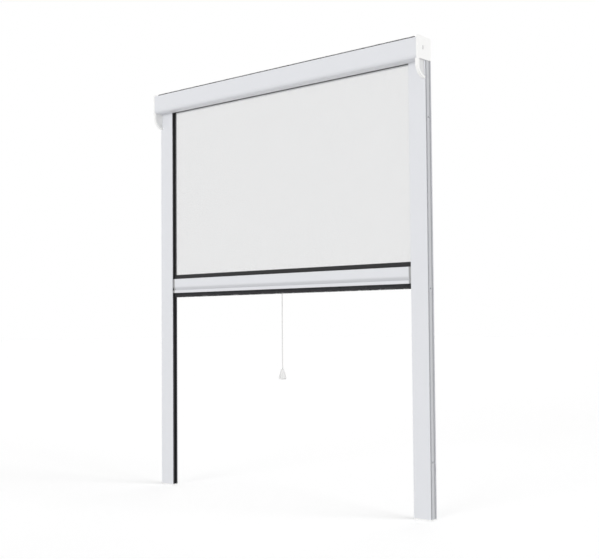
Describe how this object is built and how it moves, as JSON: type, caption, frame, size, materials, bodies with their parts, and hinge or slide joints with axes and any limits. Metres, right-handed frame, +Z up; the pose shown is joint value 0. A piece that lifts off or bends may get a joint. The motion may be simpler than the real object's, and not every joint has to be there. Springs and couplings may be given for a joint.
{
  "type": "window screen frame",
  "caption": "Roll-up insect screen for a window: slim cassette with a sprung net roller, side guides with piles, bottom bar and pull cord.",
  "frame": {"origin": "middle of the frame's footprint in X and Y, at the level of the sill it stands on", "axes": "+X along the cassette to the right as seen from the front, +Y from the front to the back, +Z up"},
  "size_m": [0.84, 0.047, 1.009],
  "materials": {
    "white_lacquer": "white powder coat",
    "white_plastic": "moulded, satin",
    "grey_plastic": "moulded, matt",
    "mill_aluminium": "mill finish",
    "spring_steel": "bright",
    "black_pile": "bristle",
    "black_tape": "woven tape",
    "net_cloth": "coated open weave",
    "net_cloth_wound": "coated weave, wound",
    "white_cord": "braided"
  },
  "bodies": {
    "frame": {"cassette": "white_lacquer", "cassette_top_brush": "black_pile", "slot_brush_front": "black_pile", "slot_brush_back": "black_pile", "end_cap_left": "white_plastic", "end_cap_right": "white_plastic", "guide_left": "white_lacquer", "guide_right": "white_lacquer", "guide_pile_front_left": "black_pile", "guide_pile_front_right": "black_pile", "guide_pile_back_left": "black_pile", "guide_pile_back_right": "black_pile", "foot_cap_left": "white_plastic", "foot_cap_right": "white_plastic", "spring_shaft": "spring_steel", "spring_hub": "grey_plastic", "torsion_spring": "spring_steel", "idle_pin": "spring_steel", "net_panel": "net_cloth"},
    "roller": {"roller_tube": "mill_aluminium", "roller_bush_left": "white_plastic", "roller_bush_right": "white_plastic", "net_roll": "net_cloth_wound"},
    "bar": {"bottom_bar": "white_lacquer", "bar_plug_left": "grey_plastic", "bar_plug_right": "grey_plastic", "bar_brush": "black_pile", "net_hem_band": "black_tape", "pull_cord": "white_cord", "cord_knot": "white_cord", "pull_knob": "white_plastic"}
  },
  "joints": [
    {"name": "bar_slide", "type": "slide", "parent": "frame", "child": "bar", "axis": [0, 0, 1], "range_m": [-0.4795, 0.432], "deforming": ["net_panel"]},
    {"name": "roller_spin", "type": "hinge", "parent": "frame", "child": "roller", "pos_m": [0, -0.00395, 0.98475], "axis": [1, 0, 0], "range_deg": [-1985, 1790]}
  ],
  "couplings": [
    {"joint": "roller_spin", "follows": "bar_slide", "rad_per_m": 71.685}
  ]
}
